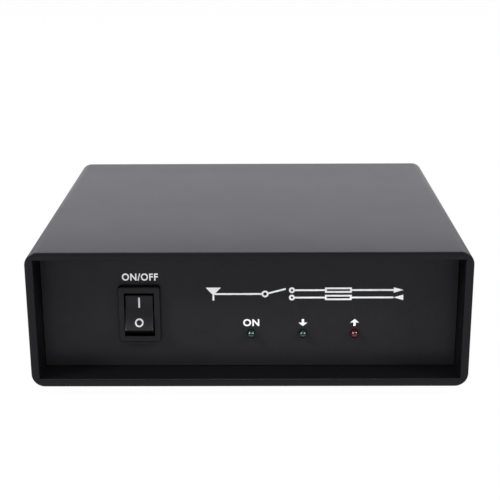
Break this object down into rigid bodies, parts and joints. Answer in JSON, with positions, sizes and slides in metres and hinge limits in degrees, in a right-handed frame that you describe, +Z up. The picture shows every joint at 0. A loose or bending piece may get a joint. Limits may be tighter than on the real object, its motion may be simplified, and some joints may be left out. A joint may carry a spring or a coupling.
{
  "type": "rf transmit-receive switch",
  "caption": "Desktop radio transmit-receive switch in a black sleeve case, with a recessed front holding a rocker switch and indicator lamps, and coaxial sockets at the rear.",
  "frame": {"origin": "on the table under the middle of the whole object's box, sockets included", "axes": "+X to the right seen from the front, +Y towards the rear sockets, +Z up"},
  "size_m": [0.155, 0.1426, 0.054],
  "materials": {
    "case_finish": "satin",
    "fascia_finish": "satin",
    "chassis_finish": "satin",
    "foot_rubber": "matte",
    "zinc_steel": "satin",
    "switch_plastic": "gloss",
    "green_lens": "gloss",
    "red_lens": "gloss",
    "tinned_wire": "satin",
    "board_laminate": "satin",
    "relay_case": "satin",
    "relay_base": "matte",
    "soft_iron": "satin",
    "copper_winding": "satin",
    "contact_metal": "satin",
    "nickel_plate": "polished",
    "socket_insulator": "satin",
    "gold_plate": "polished",
    "key_insulator": "satin",
    "inlet_plastic": "satin",
    "capacitor_can": "satin",
    "arrester_ceramic": "satin",
    "chip_mould": "matte",
    "wire_sheath": "satin",
    "bare_copper": "satin"
  },
  "bodies": {
    "case": {"case_sleeve": "case_finish", "chassis": "chassis_finish", "front_fascia": "fascia_finish", "foot_front_left": "foot_rubber", "foot_front_right": "foot_rubber", "foot_rear_left": "foot_rubber", "foot_rear_right": "foot_rubber", "foot_screws": "zinc_steel", "clinch_nuts": "zinc_steel", "switch_housing": "switch_plastic", "switch_common_terminal": "contact_metal", "switch_make_terminal": "contact_metal", "power_led": "green_lens", "receive_led": "green_lens", "transmit_led": "red_lens", "led_leads": "tinned_wire", "circuit_board": "board_laminate", "board_standoffs": "nickel_plate", "board_screws": "zinc_steel", "supply_capacitor": "capacitor_can", "surge_arrester": "arrester_ceramic", "control_chip": "chip_mould", "socket_screws": "zinc_steel", "socket_nuts": "zinc_steel", "receiver_socket_shell": "gold_plate", "receiver_socket_insulator": "socket_insulator", "receiver_socket_contact": "gold_plate", "receiver_socket_nut": "gold_plate", "key_jack_shell": "nickel_plate", "key_jack_insulator": "key_insulator", "key_jack_contact": "nickel_plate", "key_jack_nut": "nickel_plate", "power_inlet_body": "inlet_plastic", "power_inlet_contacts": "nickel_plate", "power_inlet_nut": "inlet_plastic", "ground_stud": "zinc_steel", "ground_nuts": "zinc_steel", "socket_wires": "bare_copper", "supply_wires": "wire_sheath", "antenna_relay_base": "relay_base", "antenna_relay_cover": "relay_case", "antenna_relay_yoke": "soft_iron", "antenna_relay_coil": "copper_winding", "antenna_relay_terminals": "contact_metal", "receiver_relay_base": "relay_base", "receiver_relay_cover": "relay_case", "receiver_relay_yoke": "soft_iron", "receiver_relay_coil": "copper_winding", "receiver_relay_terminals": "contact_metal", "antenna_socket_shell": "nickel_plate", "antenna_socket_insulator": "socket_insulator", "antenna_socket_contact": "gold_plate", "radio_socket_shell": "nickel_plate", "radio_socket_insulator": "socket_insulator", "radio_socket_contact": "gold_plate"},
    "rocker": {"switch_rocker": "switch_plastic", "switch_plunger": "switch_plastic"},
    "contact_bridge": {"switch_contact_bridge": "contact_metal"},
    "antenna_armature": {"antenna_relay_armature": "soft_iron"},
    "receiver_armature": {"receiver_relay_armature": "soft_iron"}
  },
  "joints": [
    {"name": "rocker_pivot", "type": "hinge", "parent": "case", "child": "rocker", "pos_m": [-0.03942, -0.0585, 0.0275], "axis": [1, 0, 0], "range_deg": [0, 30]},
    {"name": "bridge_seesaw", "type": "hinge", "parent": "case", "child": "contact_bridge", "pos_m": [-0.03942, -0.04975, 0.0275], "axis": [1, 0, 0], "range_deg": [-16, 0]},
    {"name": "antenna_armature_hinge", "type": "hinge", "parent": "case", "child": "antenna_armature", "pos_m": [0.03905, 0.0225, 0.0263], "axis": [0, -1, 0], "range_deg": [0, 3], "stiffness_Nm_per_rad": 0.02, "springref_deg": -2.86},
    {"name": "receiver_armature_hinge", "type": "hinge", "parent": "case", "child": "receiver_armature", "pos_m": [0.01205, 0.0225, 0.0263], "axis": [0, -1, 0], "range_deg": [0, 3], "stiffness_Nm_per_rad": 0.02, "springref_deg": -2.86}
  ],
  "couplings": [
    {"joint": "bridge_seesaw", "follows": "rocker_pivot", "ratio": -0.5333},
    {"joint": "receiver_armature_hinge", "follows": "antenna_armature_hinge", "ratio": 1}
  ]
}
